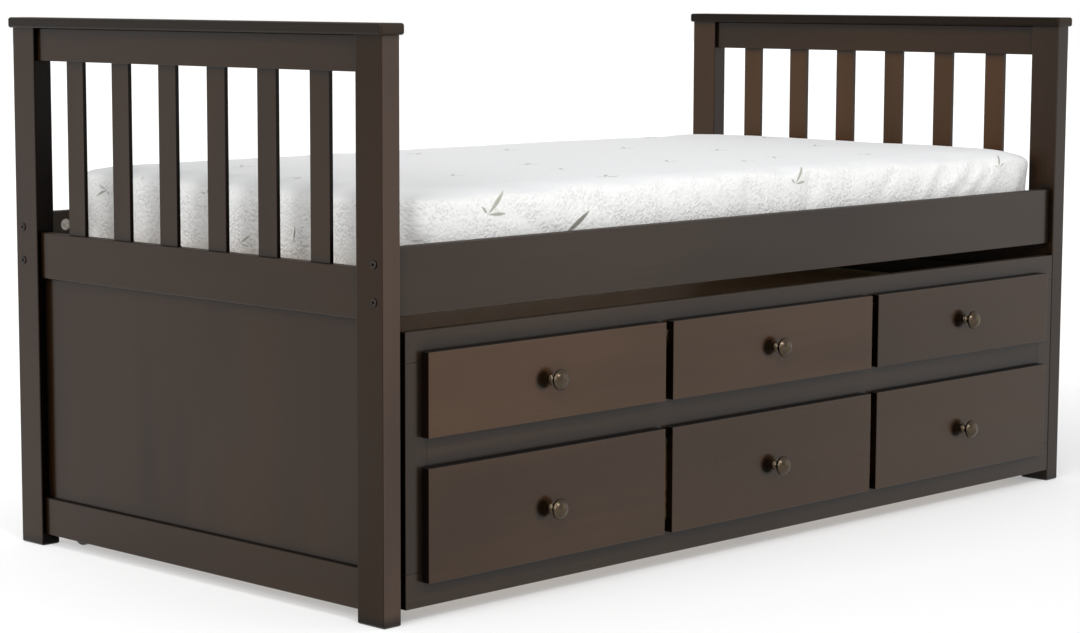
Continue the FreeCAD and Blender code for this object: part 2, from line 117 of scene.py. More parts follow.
# ---- Lacquer: how much it mirrors, in what tint, and how sharply
LACQUER_LEVEL, END_LEVEL, POST_LEVEL = 0.31, 0.25, 0.19  # all, the bed's ends, foot_front_post
CAP_LEVELS = {"foot_cap": 0.16, "head_cap": 0.105}
LACQUER_TINT, POST_TINT = (1.0, 0.97, 0.93, 1), (1.0, 0.93, 0.84, 1)
# The tint below darkens the lacquer's reflection on the front-facing faces of the foot slats and foot
# rear post, as painted shade.
SLAT_SHADED_SHINE = (0.28, 0.26, 0.25, 1)       # the tint on the front edges of the foot slats
LACQUER_ROUGHNESS = 0.21

# ---- Stains, each with its dark and its light streaks
FRAME_WOOD = ((0.0130, 0.0072, 0.0037), (0.0245, 0.0142, 0.0080))
POST_WOOD = ((0.0377, 0.0245, 0.0186), (0.0565, 0.0367, 0.0280))
FRONT_WOOD = ((0.0348, 0.0163, 0.0064), (0.0531, 0.0254, 0.0104))
FAR_WOOD = ((0.0430, 0.0175, 0.0040), (0.0660, 0.0280, 0.0080))
# Painted shade: the head slats and head rear post are darker copies of one stain.
FAR_TONES = {"head_slats": 0.68, "head_rear_post": 0.44}
# Painted light and shade: each front's stain is toned by how much light reaches it, brightest at the
# upper left.
FRONT_TONES = {
    "left_false_front": 1.00, "middle_false_front": 0.87, "right_false_front": 0.62,
    "left_drawer_front": 0.70, "middle_drawer_front": 0.66, "right_drawer_front": 0.64,
}
# What is left of a stain's colour on the faces and edges that are darker than the rest: painted shade
# where less light reaches them.
FRAME_EDGE, POST_EDGE, FRONT_EDGE = (0.78, 0.60, 0.33), (0.22, 0.12, 0.0), (0.05, 0.04, 0.03)
CAP_EDGE, SLAT_EDGE, FAR_EDGE = (0.40, 0.42, 0.40), (0.10, 0.10, 0.10), (0.45, 0.45, 0.45)
# The painted shadow and reflection beside a knob: how far from it, its radius where full and where
# gone, how dark.
KNOB_SHADE_AWAY, KNOB_SHADE_RADII, KNOB_SHADE = 0.026, (0.013, 0.022), 0.85
KNOB_HEAD = 0.0145                      # how thick the knobs' heads are
KNOB_HEAD_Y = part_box("false_front_knobs")[0].y + KNOB_HEAD
GRAIN_ALONG = {"X": 0, "Y": 1, "Z": 2}
# Where the boards don't run along their node's longest side.
CROSS_GRAIN = {
    "foot_panel": "Z", "head_panel": "Z", "bed_slats": "Y", "deck_slats": "Y", "deck_cleats": "Y",
    "drawer_runners": "Y", "caster_stretchers": "Y", "left_drawer_sides": "Y",
    "middle_drawer_sides": "Y", "right_drawer_sides": "Y",
}

# ---- Other colours, from the one end of each material's pattern to the other
BLACK = (0.0, 0.0, 0.0, 1)
PINE = ((0.62, 0.45, 0.27), (0.47, 0.29, 0.14))
PINE_KNOT, PINE_FIBRE = (0.16, 0.07, 0.03, 1), (0.30, 0.19, 0.10, 1)
PLY_FACE = ((0.56, 0.41, 0.25), (0.68, 0.53, 0.35))
PLY_EDGE, PLY_THICK = ((0.30, 0.18, 0.09), (0.60, 0.45, 0.28)), 0.0012
# BRONZE_RIM is painted shade on the rims of the knobs' heads.
BRONZE, BRONZE_RIM = ((0.062, 0.046, 0.031), (0.088, 0.068, 0.048)), (0.012, 0.008, 0.005, 1)
BLACK_STEEL = ((0.018, 0.013, 0.011), (0.050, 0.038, 0.031))
ZINC = ((0.40, 0.375, 0.34), (0.66, 0.63, 0.58))
PLASTIC = ((0.012, 0.012, 0.013), (0.045, 0.044, 0.042))
TAN = ((0.80, 0.62, 0.40), (0.92, 0.74, 0.50))
# The first colour below is painted shade that darkens the lower mattress towards the head end.
TAN_SHADE, TAN_BORDER, TAN_SHINE = (0.36, 0.33, 0.29, 1), (0.045, 0.030, 0.020, 1), (1.0, 0.86, 0.66, 1)

# ---- Knit
# KNIT_TOP is painted shade: the same knit, greyer on top; KNIT_PIT is painted shade in the sunk
# strokes.
KNIT_TOP, KNIT_SIDE, KNIT_PIT = (0.612, 0.615, 0.622, 1), (0.710, 0.708, 0.698), (0.590, 0.589, 0.583)
STROKE_TILTS = (0.60, -0.70)
STROKE_CELLS = (92.0, 165.0, 20.0)      # per metre along a stroke, across it, and as x less y

# ---- Leaves, in sprigs of one or three
LEAF_PALE, LEAF_DARK = (0.31, 0.315, 0.26, 1), (0.14, 0.14, 0.108, 1)
MAIN_LEAF = (0.043, 0.0027)             # how long, and half how wide
SIDE_LEAVES, SIDE_START, SIDE_HALF = ((-0.66, 0.030), (1.64, 0.012)), 0.001, 0.0022
# On the upright sides: which side, along it and up in metres, turn in degrees, size, how pale the
# sprig is and how plain its side leaves are, and 1 or -1 for mirrored.
SPRIGS = (
    ("front", -0.724, 0.686, 37, 1.55, 1.0, 1), ("front", -0.530, 0.638, 31, 1.90, 0.0, 1),
    ("front", 0.132, 0.698, 44, 1.20, 1.0, 1), ("front", 0.825, 0.700, 58, 0.90, 0.6, 1),
    ("front", -0.940, 0.680, 0, 0.75, 0.2, 1), ("front", -0.935, 0.643, 45, 0.80, 0.2, 1),
    ("foot", 0.4065, 0.692, 200, 0.95, 0.8, 1), ("foot", 0.3085, 0.724, 20, 0.80, 0.8, -1),
    ("foot", 0.1095, 0.700, 70, 0.90, 0.8, 1), ("foot", 0.0095, 0.616, 25, 0.90, 0.8, 1),
    ("foot", -0.1415, 0.625, 80, 0.80, 0.2, 1), ("foot", -0.360, 0.690, 130, 0.90, 0.8, 1),
)
# On top: along and across in metres, turn in degrees, and 1 or -1 for mirrored.
TOP_SIZE = 1.4
TOP_SPRIGS = (
    (-0.569, -0.208, 45, 1), (0.085, 0.295, 55, 1), (-0.224, -0.056, 35, 1), (-0.277, -0.211, 50, -1),
    (-0.381, -0.418, 40, 1), (0.665, 0.404, 60, 1), (0.056, -0.186, 45, 1), (0.415, -0.007, 35, 1),
    (0.174, -0.296, 50, 1), (0.341, -0.227, 225, -1), (0.694, -0.060, 40, 1), (-0.700, 0.250, 45, 1),
    (-0.450, 0.130, 55, 1), (-0.160, 0.330, 35, -1), (0.330, 0.180, 50, 1), (0.560, -0.300, 230, 1),
    (0.860, 0.220, 45, 1), (-0.800, -0.050, 215, 1),
)
LEAF_REACH = 0.080                      # no leaf is further than this from its sprig's foot
NO_LEAF = (9.0, 9.0, 0.0)


# ---------------------------------------------------------------- node helpers
def new_material(name):
    mat = bpy.data.materials.new(name)
    mat.use_nodes = True
    return mat, mat.node_tree, mat.node_tree.nodes["Principled BSDF"]


def add(tree, kind, inputs=None, **settings):
    """Adds a node. inputs maps a socket's name or number to a value or to another socket."""
    made = tree.nodes.new("ShaderNode" + kind)
    for key, value in settings.items():
        setattr(made, key, value)
    for key, value in (inputs or {}).items():
        give(tree, made.inputs[key], value)
    return made


def give(tree, socket, value):
    """Links a socket to another one, or sets it."""
    if isinstance(value, bpy.types.NodeSocket):
        tree.links.new(value, socket)
    else:
        socket.default_value = value


def maths(tree, operation, a, b=0.0):
    return add(tree, "Math", {0: a, 1: b}, operation=operation).outputs[0]


def ramp(tree, factor, stops):
    """A colour ramp through (place, colour) stops."""
    made = add(tree, "ValToRGB", {"Fac": factor})
    elements = made.color_ramp.elements
    while len(elements) < len(stops):
        elements.new(0.5)
    for element, (place, colour) in zip(elements, stops):
        element.position = place
        element.color = (*colour, 1)
    return made.outputs["Color"]


def mapped(tree, value, start, end, low=0.0, high=1.0):
    """Maps start..end to low..high, and holds those beyond."""
    return add(tree, "MapRange", {"Value": value, "From Min": start, "From Max": end,
                                  "To Min": low, "To Max": high}).outputs["Result"]


def spread(tree, value, low, high):
    """Maps 0..1 to low..high."""
    return mapped(tree, value, 0.0, 1.0, low, high)


def blended(tree, factor, a, b, mode="MIX"):
    made = tree.nodes.new("ShaderNodeMix")
    made.data_type, made.blend_type = "RGBA", mode
    for socket, value in ((made.inputs["Factor"], factor), (made.inputs[6], a), (made.inputs[7], b)):
        give(tree, socket, value)
    return made.outputs[2]


def own_place(tree):
    """Where a point lies in its piece's own coordinates."""
    return add(tree, "TexCoord").outputs["Object"]


def split(tree, vector):
    return add(tree, "SeparateXYZ", {"Vector": vector}).outputs


def facing(tree):
    """The three parts of the surface's direction."""
    return split(tree, add(tree, "NewGeometry").outputs["Normal"])


def turned(tree, a, b, angle):
    """The coordinates a and b, as seen in a frame that is turned by that angle."""
    c, s = math.cos(angle), math.sin(angle)
    along = maths(tree, "ADD", maths(tree, "MULTIPLY", a, c), maths(tree, "MULTIPLY", b, s))
    side = maths(tree, "SUBTRACT", maths(tree, "MULTIPLY", b, c), maths(tree, "MULTIPLY", a, s))
    return along, side


def stretched(tree, axis, along, across, shift=0.0):
    """Object coordinates scaled so that a texture runs along one axis."""
    scale = [across] * 3
    scale[GRAIN_ALONG[axis]] = along
    return add(tree, "Mapping", {"Vector": own_place(tree), "Scale": scale,
                                 "Location": (shift, shift * 1.7, shift * 0.6)}).outputs["Vector"]


def noise_value(tree, vector, scale, detail=3.0, roughness=0.5):
    return add(tree, "TexNoise", {"Vector": vector, "Scale": scale, "Detail": detail,
                                  "Roughness": roughness}).outputs["Fac"]


def edge_mask(tree, radius):
    """1 on the sharp edges of a solid, falling to 0 on its flats."""
    soft = add(tree, "Bevel", {"Radius": radius}, samples=4).outputs["Normal"]
    true = add(tree, "NewGeometry").outputs["Normal"]
    agree = add(tree, "VectorMath", {0: soft, 1: true}, operation="DOT_PRODUCT").outputs["Value"]
    return mapped(tree, agree, 1.0, 0.86)


def bumped(tree, shader, height, strength, distance):
    bump = add(tree, "Bump", {"Height": height, "Strength": strength, "Distance": distance})
    tree.links.new(bump.outputs["Normal"], shader.inputs["Normal"])


# ------------------------------------------------------------------- materials
def stained_wood(name, axis, colours, shift, edge_on, edge_tone, level=LACQUER_LEVEL,
                 tint=LACQUER_TINT, edge_shine=None, knob=None):
    """Espresso stain under a glossy lacquer: hardly any grain, a cloudy tone, arrises rubbed browner.

    Painted shade darkens the frame's corners. The faces that edge_on picks from the surface's direction
    take edge_tone, and edge_shine for the lacquer's tint if it is given, as painted shade. What faces
    up is duller from wiping. A front is told where its knob is, and gets a painted shadow and
    reflection there, not painted shade in its corners."""
    mat, tree, shader = new_material(name)
    dark, light = colours
    fine = noise_value(tree, stretched(tree, axis, 3.0, 150.0, shift), 1.0, 5.0, 0.6)
    bands = noise_value(tree, stretched(tree, axis, 0.9, 14.0, shift), 1.0, 3.0, 0.5)
    cloud = noise_value(tree, stretched(tree, axis, 1.6, 5.0, shift + 3.0), 1.0, 2.0, 0.5)
    tone = maths(tree, "ADD", maths(tree, "MULTIPLY", fine, 0.22), maths(tree, "MULTIPLY", bands, 0.28))
    tone = maths(tree, "ADD", tone, maths(tree, "MULTIPLY", cloud, 0.50))
    colour = ramp(tree, tone, [(0.34, dark), (0.66, light)])
    wear = noise_value(tree, stretched(tree, axis, 9.0, 30.0, shift), 1.0)
    rubbed = maths(tree, "MULTIPLY", edge_mask(tree, 0.0018), spread(tree, wear, 0.0, 0.5))
    colour = blended(tree, rubbed, colour, (light[0] * 1.5, light[1] * 1.4, light[2] * 1.4, 1))
    way = facing(tree)
    edge = edge_on(tree, way)
    # Painted shade: the faces that edge_on picks are darkened by edge_tone.
    darker = blended(tree, 1.0, colour, (*edge_tone, 1), "MULTIPLY")
    colour = blended(tree, edge, colour, darker)
    if knob:
        colour = blended(tree, beside_knob(tree, knob), colour, BLACK)
    else:
        # Painted shade: the stain is darkened where corners close in, by ambient occlusion.
        painted_corner_shade = add(tree, "AmbientOcclusion", {"Distance": 0.024}, samples=4).outputs["AO"]
        colour = blended(tree, 1.0, colour, maths(tree, "POWER", painted_corner_shade, 3.0), "MULTIPLY")
    tree.links.new(colour, shader.inputs["Base Color"])
    wiped = maths(tree, "MULTIPLY", mapped(tree, way["Z"], 0.5, 0.9), 0.4)
    gloss = spread(tree, cloud, LACQUER_ROUGHNESS - 0.03, LACQUER_ROUGHNESS + 0.03)
    tree.links.new(maths(tree, "ADD", gloss, wiped), shader.inputs["Roughness"])
    bumped(tree, shader, fine, 0.05, 0.0003)
    shader.inputs["Specular IOR Level"].default_value = level
    shader.inputs["Specular Tint"].default_value = tint
    # Painted shade in the lacquer's reflection on the faces that edge_on picks.
    if edge_shine:
        tree.links.new(blended(tree, edge, tint, edge_shine), shader.inputs["Specular Tint"])
    return mat


def beside_knob(tree, knob):
    """Painted shadow and reflection: the dark patch a knob casts and mirrors on its front, on the side
    away from the light.
    """
    parts = split(tree, own_place(tree))
    x = maths(tree, "SUBTRACT", parts["X"], knob[0] - KNOB_SHADE_AWAY)
    z = maths(tree, "SUBTRACT", parts["Z"], knob[1])
    squares = maths(tree, "ADD", maths(tree, "MULTIPLY", x, x), maths(tree, "MULTIPLY", z, z))
    full, gone = KNOB_SHADE_RADII
    return mapped(tree, maths(tree, "SQRT", squares), gone, full, 0.0, KNOB_SHADE)


def facing_ends(tree, way):
    """1 on faces that look along the bed, 0 on the rest."""
    return mapped(tree, maths(tree, "ABSOLUTE", way["X"]), 0.55, 0.80)


def facing_front(tree, way):
    """1 on faces that look towards the front, 0 on the rest."""
    return mapped(tree, way["Y"], -0.45, -0.80)


def round_the_edge(tree, way):
    """1 on the edges of a board that looks towards the front, 0 on its face."""
    return mapped(tree, maths(tree, "ABSOLUTE", way["Y"]), 0.80, 0.45)


def raw_wood(name, axis, stained_front=False):
    """Planed softwood: growth rings along the board, fine fibres and a few knots."""
    mat, tree, shader = new_material(name)
    pale, ring = PINE
    along = stretched(tree, axis, 0.7, 16.0)
    wander = noise_value(tree, stretched(tree, axis, 1.2, 4.0), 1.0, 2.0)
    rings = add(tree, "TexWave", {"Vector": along, "Scale": 1.1, "Distortion": 5.0, "Detail": 2.0,
                                  "Detail Scale": 0.8, "Phase Offset": wander},
                wave_type="BANDS", bands_direction="DIAGONAL").outputs["Fac"]
    fibres = noise_value(tree, stretched(tree, axis, 6.0, 260.0), 1.0, 4.0, 0.6)
    colour = ramp(tree, rings, [(0.15, pale), (0.95, ring)])
    knots = add(tree, "TexVoronoi", {"Vector": stretched(tree, axis, 2.2, 6.0), "Scale": 1.0,
                                     "Randomness": 1.0}).outputs["Distance"]
    knot = mapped(tree, knots, 0.10, 0.04)
    colour = blended(tree, maths(tree, "MULTIPLY", knot, 0.8), colour, PINE_KNOT)
    colour = blended(tree, maths(tree, "MULTIPLY", fibres, 0.25), colour, PINE_FIBRE)
    if stained_front:
        colour = blended(tree, facing_front(tree, facing(tree)), colour, (*FRAME_WOOD[0], 1))
    tree.links.new(colour, shader.inputs["Base Color"])
    tree.links.new(spread(tree, fibres, 0.55, 0.80), shader.inputs["Roughness"])
    bumped(tree, shader, fibres, 0.25, 0.0005)
    return mat


def plywood():
    """Birch-faced plywood, with its plies showing at the edges."""
    mat, tree, shader = new_material("plywood")
    figure = noise_value(tree, stretched(tree, "X", 2.0, 22.0), 1.0, 4.0, 0.55)
    face = ramp(tree, figure, [(0.3, PLY_FACE[0]), (0.7, PLY_FACE[1])])
    plies = maths(tree, "PINGPONG", split(tree, own_place(tree))["Z"], PLY_THICK)
    edge = ramp(tree, maths(tree, "MULTIPLY", plies, 800.0), [(0.4, PLY_EDGE[0]), (0.6, PLY_EDGE[1])])
    flat = maths(tree, "GREATER_THAN", maths(tree, "ABSOLUTE", facing(tree)["Z"]), 0.5)
    tree.links.new(blended(tree, flat, edge, face), shader.inputs["Base Color"])
    tree.links.new(spread(tree, figure, 0.55, 0.75), shader.inputs["Roughness"])
    return mat


def speckled(name, pattern, colours, places, roughness, metallic=0.0):
    """A plain material whose colour and roughness follow one pattern."""
    mat, tree, shader = new_material(name)
    value = pattern(tree, own_place(tree))
    colour = ramp(tree, value, list(zip(places, colours)))
    tree.links.new(colour, shader.inputs["Base Color"])
    tree.links.new(spread(tree, value, *roughness), shader.inputs["Roughness"])
    shader.inputs["Metallic"].default_value = metallic
    return mat, tree, shader, colour


def knob_bronze():
    """Dark bronze that mirrors its surroundings, clouded by a thin patina, with painted shade on the
    rim of its head.
    """
    mat, tree, shader, colour = speckled(
        "knob_bronze", lambda tree, place: noise_value(tree, place, 90.0, 4.0, 0.6),
        BRONZE, (0.30, 0.70), (0.20, 0.30), 1.0)
    # Painted shade on the rim of the head, where it turns back towards the front.
    rim = mapped(tree, facing(tree)["Y"], -0.55, -0.30)
    head = maths(tree, "LESS_THAN", split(tree, own_place(tree))["Y"], KNOB_HEAD_Y)
    colour = blended(tree, maths(tree, "MULTIPLY", rim, head), colour, BRONZE_RIM)
    tree.links.new(colour, shader.inputs["Base Color"])
    return mat


def black_steel():
    """Blackened steel bolt heads, rubbed brighter where the key turns."""
    return speckled("black_steel", lambda tree, place: noise_value(tree, place, 400.0, 3.0, 0.6),
                    BLACK_STEEL, (0.40, 0.75), (0.25, 0.42), 0.8)[0]


def zinc_steel():
    """Zinc-plated steel with a faint spangle."""
    def spangle(tree, place):
        cells = add(tree, "TexVoronoi", {"Vector": place, "Scale": 160.0}).outputs["Color"]
        return split(tree, cells)["X"]
    return speckled("zinc_steel", spangle, ZINC, (0.0, 1.0), (0.28, 0.45), 0.9)[0]


def wheel_plastic():
    """Black moulded plastic, scuffed where it rolls."""
    return speckled("wheel_plastic", lambda tree, place: noise_value(tree, place, 220.0, 5.0, 0.7),
                    PLASTIC, (0.35, 0.75), (0.35, 0.60))[0]


def leaf_mask(tree, u, v, angle, start, length, width):
    """1 inside a pointed leaf that starts a little way out from the sprig's foot, at that angle."""
    along, side = turned(tree, u, v, angle)
    t = maths(tree, "DIVIDE", maths(tree, "SUBTRACT", along, start), length)
    arch = maths(tree, "MULTIPLY", t, maths(tree, "SUBTRACT", 1.0, t))
    belly = maths(tree, "MULTIPLY", arch, 4.0 * width)
    room = maths(tree, "SUBTRACT", belly, maths(tree, "ABSOLUTE", side))
    return mapped(tree, room, -0.0004, 0.0008)


def leaves(tree):
    """Where leaves are, and how many of a sprig show, from the cover's sprig marks."""
    parts = split(tree, add(tree, "Attribute", attribute_name="sprig").outputs["Vector"])
    u, v, several = parts["X"], parts["Y"], parts["Z"]
    leaf = leaf_mask(tree, u, v, 0.0, 0.0, *MAIN_LEAF)
    for angle, length in SIDE_LEAVES:
        other = leaf_mask(tree, u, v, angle, SIDE_START, length, SIDE_HALF)
        leaf = maths(tree, "MAXIMUM", leaf, maths(tree, "MULTIPLY", other, several))
    return leaf, several


def short_strokes(tree, coords, tilt):
    """1 in short sunk strokes that all lean the same way along the upright sides."""
    parts = split(tree, coords)
    along, side = turned(tree, maths(tree, "ADD", parts["X"], parts["Y"]), parts["Z"], tilt)
    around = maths(tree, "SUBTRACT", parts["X"], parts["Y"])
    scaled = [maths(tree, "MULTIPLY", part, cells)
              for part, cells in zip((along, side, around), STROKE_CELLS)]
    cells = add(tree, "CombineXYZ", dict(zip("XYZ", scaled))).outputs["Vector"]
    away = add(tree, "TexVoronoi", {"Vector": cells, "Scale": 1.0}).outputs["Distance"]
    return mapped(tree, away, 0.58, 0.20)


def knit_cover():
    """White jacquard knit: puffed, with short sunk strokes that cross, and a few woven leaves.

    The strokes are denser lower down the sides, and don't show on top. The strokes are sunk by a bump
    and painted darker as their shade, and the top is painted greyer as painted shade."""
    mat, tree, shader = new_material("mattress_knit")
    coords = own_place(tree)
    sunk = maths(tree, "MAXIMUM", *[short_strokes(tree, coords, tilt) for tilt in STROKE_TILTS])
    patchy = mapped(tree, noise_value(tree, coords, 22.0, 1.0), 0.38, 0.56, 0.60)
    lower = mapped(tree, split(tree, coords)["Z"], 0.722, 0.655, 0.80)
    sunk = maths(tree, "MULTIPLY", sunk, maths(tree, "MULTIPLY", patchy, lower))
    puff = maths(tree, "SUBTRACT", 1.0, sunk)
    upright = mapped(tree, facing(tree)["Z"], 0.75, 0.35)
    # Painted shade: the top takes the greyer KNIT_TOP, and the sunk strokes the darker KNIT_PIT.
    knit = blended(tree, upright, KNIT_TOP, ramp(tree, puff, [(0.0, KNIT_PIT), (0.6, KNIT_SIDE)]))
    leaf, several = leaves(tree)
    green = blended(tree, several, LEAF_DARK, LEAF_PALE)
    colour = blended(tree, maths(tree, "MULTIPLY", leaf, 0.9), knit, green)
    tree.links.new(colour, shader.inputs["Base Color"])
    relief = maths(tree, "MULTIPLY", puff, spread(tree, upright, 0.15, 1.0))
    yarn = maths(tree, "MULTIPLY", noise_value(tree, coords, 700.0, 2.0), 0.12)
    bumped(tree, shader, maths(tree, "ADD", relief, yarn), 0.50, 0.0022)
    shader.inputs["Roughness"].default_value = 0.9
    shader.inputs["Sheen Weight"].default_value = 0.15
    shader.inputs["Sheen Roughness"].default_value = 0.5
    shader.inputs["Specular IOR Level"].default_value = 0.25
    return mat


def tan_cover():
    """The lower mattress's satin: tan on top, painted darker towards the head end as painted shade,
    with a dark border.
    """
    mat, tree, shader = new_material("tan_satin")
    weave = noise_value(tree, stretched(tree, "X", 60.0, 500.0), 1.0, 3.0)
    cloth = ramp(tree, weave, [(0.3, TAN[0]), (0.7, TAN[1])])
    # Painted shade: the cover darkens towards the head end.
    light_reach = mapped(tree, split(tree, own_place(tree))["X"], 0.93, 0.05)
    head_end_shade = blended(tree, light_reach, TAN_SHADE, (1.0, 1.0, 1.0, 1))
    border = mapped(tree, facing(tree)["Z"], 0.60, 0.25)
    colour = blended(tree, border, blended(tree, 1.0, cloth, head_end_shade, "MULTIPLY"), TAN_BORDER)
    tree.links.new(colour, shader.inputs["Base Color"])
    tree.links.new(spread(tree, weave, 0.45, 0.55), shader.inputs["Roughness"])
    shader.inputs["Specular IOR Level"].default_value = 0.2
    shader.inputs["Specular Tint"].default_value = TAN_SHINE
    return mat


def floor_paint():
    """Pale and matt, with a painted glow that is stronger behind the bed and far off, and weaker in
    front of it as painted shade.
    """
    mat, tree, shader = new_material("studio_floor")
    shader.inputs["Base Color"].default_value = FLOOR_COLOUR
    shader.inputs["Roughness"].default_value = 0.9
    shader.inputs["Specular IOR Level"].default_value = 0.0
    shader.inputs["Emission Color"].default_value = WHITE
    place = own_place(tree)
    # Painted light: the floor glows, less in front of the bed as painted shade.
    near = mapped(tree, split(tree, place)["Y"], *GLOW_Y, *FLOOR_GLOW)
    away = add(tree, "VectorMath", {0: place}, operation="LENGTH").outputs["Value"]
    far = mapped(tree, away, *GLOW_AWAY, 0.0, GLOW_FAR)
    tree.links.new(maths(tree, "MAXIMUM", near, far), shader.inputs["Emission Strength"])
    return mat


# ---------------------------------------------------------- which grain on what
def grain_axis(node):
    """The way the boards of a node run."""
    low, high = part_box(node)
    size = high - low
    return CROSS_GRAIN.get(node) or max("XYZ", key=lambda axis: size[GRAIN_ALONG[axis]])


def paint(node, mat):
    data = frame["nodes"][node]
    if not data.material_slots:
        data.data.materials.append(mat)
    for held in data.material_slots:
        held.material = mat


def toned(colours, tone):
    return [[part * tone for part in colour] for colour in colours]


def knob_place(node):
    """Where the knob stands on a front: the front's middle, and the height of the knob's own node."""
    low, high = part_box(node)
    knob = "false_front_knobs" if "false" in node else node.replace("_front", "_knob")
    knob_low, knob_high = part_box(knob)
    return (low.x + high.x) / 2, (knob_low.z + knob_high.z) / 2


def own_woods():
    """The nodes whose wood differs from the rest of the bed's, each with its material."""
    # The foot front post's faces that look along the bed take POST_EDGE as painted shade.
    woods = {"foot_front_post": stained_wood("espresso_front_post", "Z", POST_WOOD, 5.0, facing_ends,
                                             POST_EDGE, POST_LEVEL, POST_TINT),
             "trundle_partitions": raw_wood("pine_partitions", "Y", stained_front=True)}
    # The slats' stain holds FRAME_EDGE's painted shade all over, and their front-facing faces take
    # SLAT_EDGE and the darker reflection tint as painted shade.
    shaded_end_wood = [[part * left for part, left in zip(colour, FRAME_EDGE)] for colour in FRAME_WOOD]
    slats = stained_wood("espresso_slats", "Z", shaded_end_wood, 7.0, facing_front, SLAT_EDGE, END_LEVEL,
                         edge_shine=SLAT_SHADED_SHINE)
    woods["foot_slats"] = woods["foot_rear_post"] = slats
    # Each front's stain is toned by FRONT_TONES as painted light and shade, and its side, top and
    # bottom faces take FRONT_EDGE as painted shade.
    for node, tone in FRONT_TONES.items():
        woods[node] = stained_wood(node + "_wood", "X", toned(FRONT_WOOD, tone), 9.0 + 10 * tone,
                                   round_the_edge, FRONT_EDGE, knob=knob_place(node))
    # The head parts' stain is toned by FAR_TONES as painted shade, and their front-facing faces take
    # FAR_EDGE as painted shade.
    for node, tone in FAR_TONES.items():
        woods[node] = stained_wood(node + "_wood", "Z", toned(FAR_WOOD, tone), 6.0, facing_front,
                                   FAR_EDGE, END_LEVEL)
    # The caps' faces that look along the bed take CAP_EDGE as painted shade.
    for node, level in CAP_LEVELS.items():
        woods[node] = stained_wood(node + "_wood", "Y", FRAME_WOOD, 8.0, facing_ends, CAP_EDGE, level)
    return woods


def paint_nodes():
    own = own_woods()
    # The faces that look along the bed take FRAME_EDGE as painted shade.
    stained = {axis: stained_wood(f"espresso_{axis}", axis, FRAME_WOOD, 2.0 * i, facing_ends,
                                  FRAME_EDGE)
               for i, axis in enumerate("XYZ")}
    ends = {axis: stained_wood(f"espresso_ends_{axis}", axis, FRAME_WOOD, 4.0 + i, facing_ends,
                               FRAME_EDGE, END_LEVEL)
            for i, axis in enumerate("XYZ")}
    pine = {axis: raw_wood(f"pine_{axis}", axis) for axis in "XYZ"}
    plain = {"plywood": plywood(), "knob_bronze": knob_bronze(), "black_steel": black_steel(),
             "zinc_steel": zinc_steel(), "wheel_plastic": wheel_plastic()}
    for part in frame["record"]["subparts"]:
        node, slot = part["node"], part["material_slot"]
        if slot == "mattress_fabric":
            continue
        if node in own:
            paint(node, own[node])
        elif slot in plain:
            paint(node, plain[slot])
        elif slot == "raw_pine":
            paint(node, pine[grain_axis(node)])
        elif node.startswith(("foot_", "head_")):
            paint(node, ends[grain_axis(node)])
        else:
            paint(node, stained[grain_axis(node)])


# ------------------------------------------------------------------ mattresses
def box_grid(low, high, cell):
    """A closed box of near-square faces about cell wide."""
    counts = [max(2, round((high[i] - low[i]) / cell)) for i in range(3)]
    mesh = bmesh.new()
    found = {}

    def vertex(i, j, k):
        if (i, j, k) not in found:
            at = [low[n] + (high[n] - low[n]) * c / counts[n] for n, c in enumerate((i, j, k))]
            found[i, j, k] = mesh.verts.new(at)
        return found[i, j, k]

    for axis in range(3):
        a, b = [n for n in range(3) if n != axis]
        for side in (0, counts[axis]):
            for i in range(counts[a]):
                for j in range(counts[b]):
                    corners = []
                    for di, dj in ((0, 0), (1, 0), (1, 1), (0, 1)):
                        place = [0, 0, 0]
                        place[axis], place[a], place[b] = side, i + di, j + dj
                        corners.append(vertex(*place))
                    mesh.faces.new(corners)
    bmesh.ops.recalc_face_normals(mesh, faces=mesh.faces)
    return mesh


def rounded(point, low, high, radius):
    """Moves a point of a box's surface to the box with rounded edges. Gives the way out too."""
    core = Vector([min(max(point[i], low[i] + radius), high[i] - radius) for i in range(3)])
    out = (point - core).normalized()
    return core + out * radius, out


def foam_shape(point, out, low, high):
    """The foam's own form: hollow on top, uneven, its head end swollen with slumped corners."""
    middle, half = (low + high) / 2, (high - low) / 2
    u, v, w = [(point[i] - middle[i]) / half[i] for i in range(3)]
    top = max(0.0, out.z)
    lift = -TOP_HOLLOW * top * (1 - u * u) * (1 - v * v)
    corner = math.hypot(half.x - abs(point.x - middle.x), half.y - abs(point.y - middle.y))
    slump = 0.0
    if u > 0:
        slump = max(0.0, 1 - corner / CORNER_REACH) ** 2 * max(0.0, w) ** 2 * CORNER_SLUMP
    ripple = noise.noise(Vector([point[i] * STUFFING_SCALE[i] for i in range(3)])) * STUFFING
    swell = HEAD_BULGE * max(0.0, out.x) * (1 - 0.7 * w * w)
    return point + out * ripple + Vector((swell, 0, lift - slump))


def crease(point, normal):
    """How far the folds in the cover stand out of an upright side at that point."""
    height = 0.0
    for side, a, low, b, high, tall, wide in FOLDS:
        along = point.x if side == "front" else point.y
        straight_on = -normal.y if side == "front" else -normal.x
        if straight_on < 0.3:
            continue
        run, rise = b - a, high - low
        t = ((along - a) * run + (point.z - low) * rise) / (run * run + rise * rise)
        held = min(max(t, 0.0), 1.0)
        away = math.hypot(along - a - run * held, point.z - low - rise * held)
        swell = math.exp(-(away / wide) ** 2) * math.sin(math.pi * (0.15 + 0.7 * held))
        height += tall * swell * straight_on
    return height


